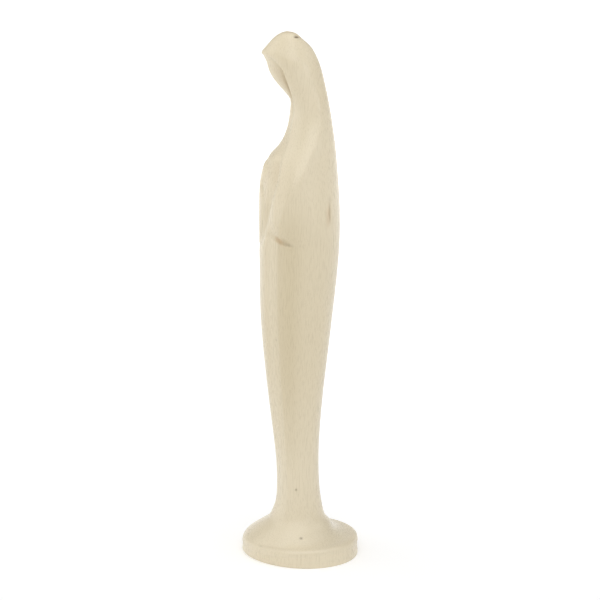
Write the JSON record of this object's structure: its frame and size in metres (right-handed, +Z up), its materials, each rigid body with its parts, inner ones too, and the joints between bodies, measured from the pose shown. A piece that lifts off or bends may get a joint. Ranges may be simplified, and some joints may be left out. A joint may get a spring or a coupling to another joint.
{
  "type": "madonna and child statue",
  "caption": "slender abstract mother and child, hooded and cloaked, carved in one piece with a round flared foot from pale satin wood, standing on a flat underside",
  "frame": {"origin": "middle of the foot's flat underside", "axes": "+Z up along the figure, -Y the way the mother faces, +X to her left"},
  "size_m": [0.0676, 0.068, 0.3],
  "materials": {
    "pale_wood": "hand-rubbed satin, close pale grain, unpainted"
  },
  "bodies": {
    "root": {"madonna_and_child": "pale_wood"}
  },
  "joints": []
}
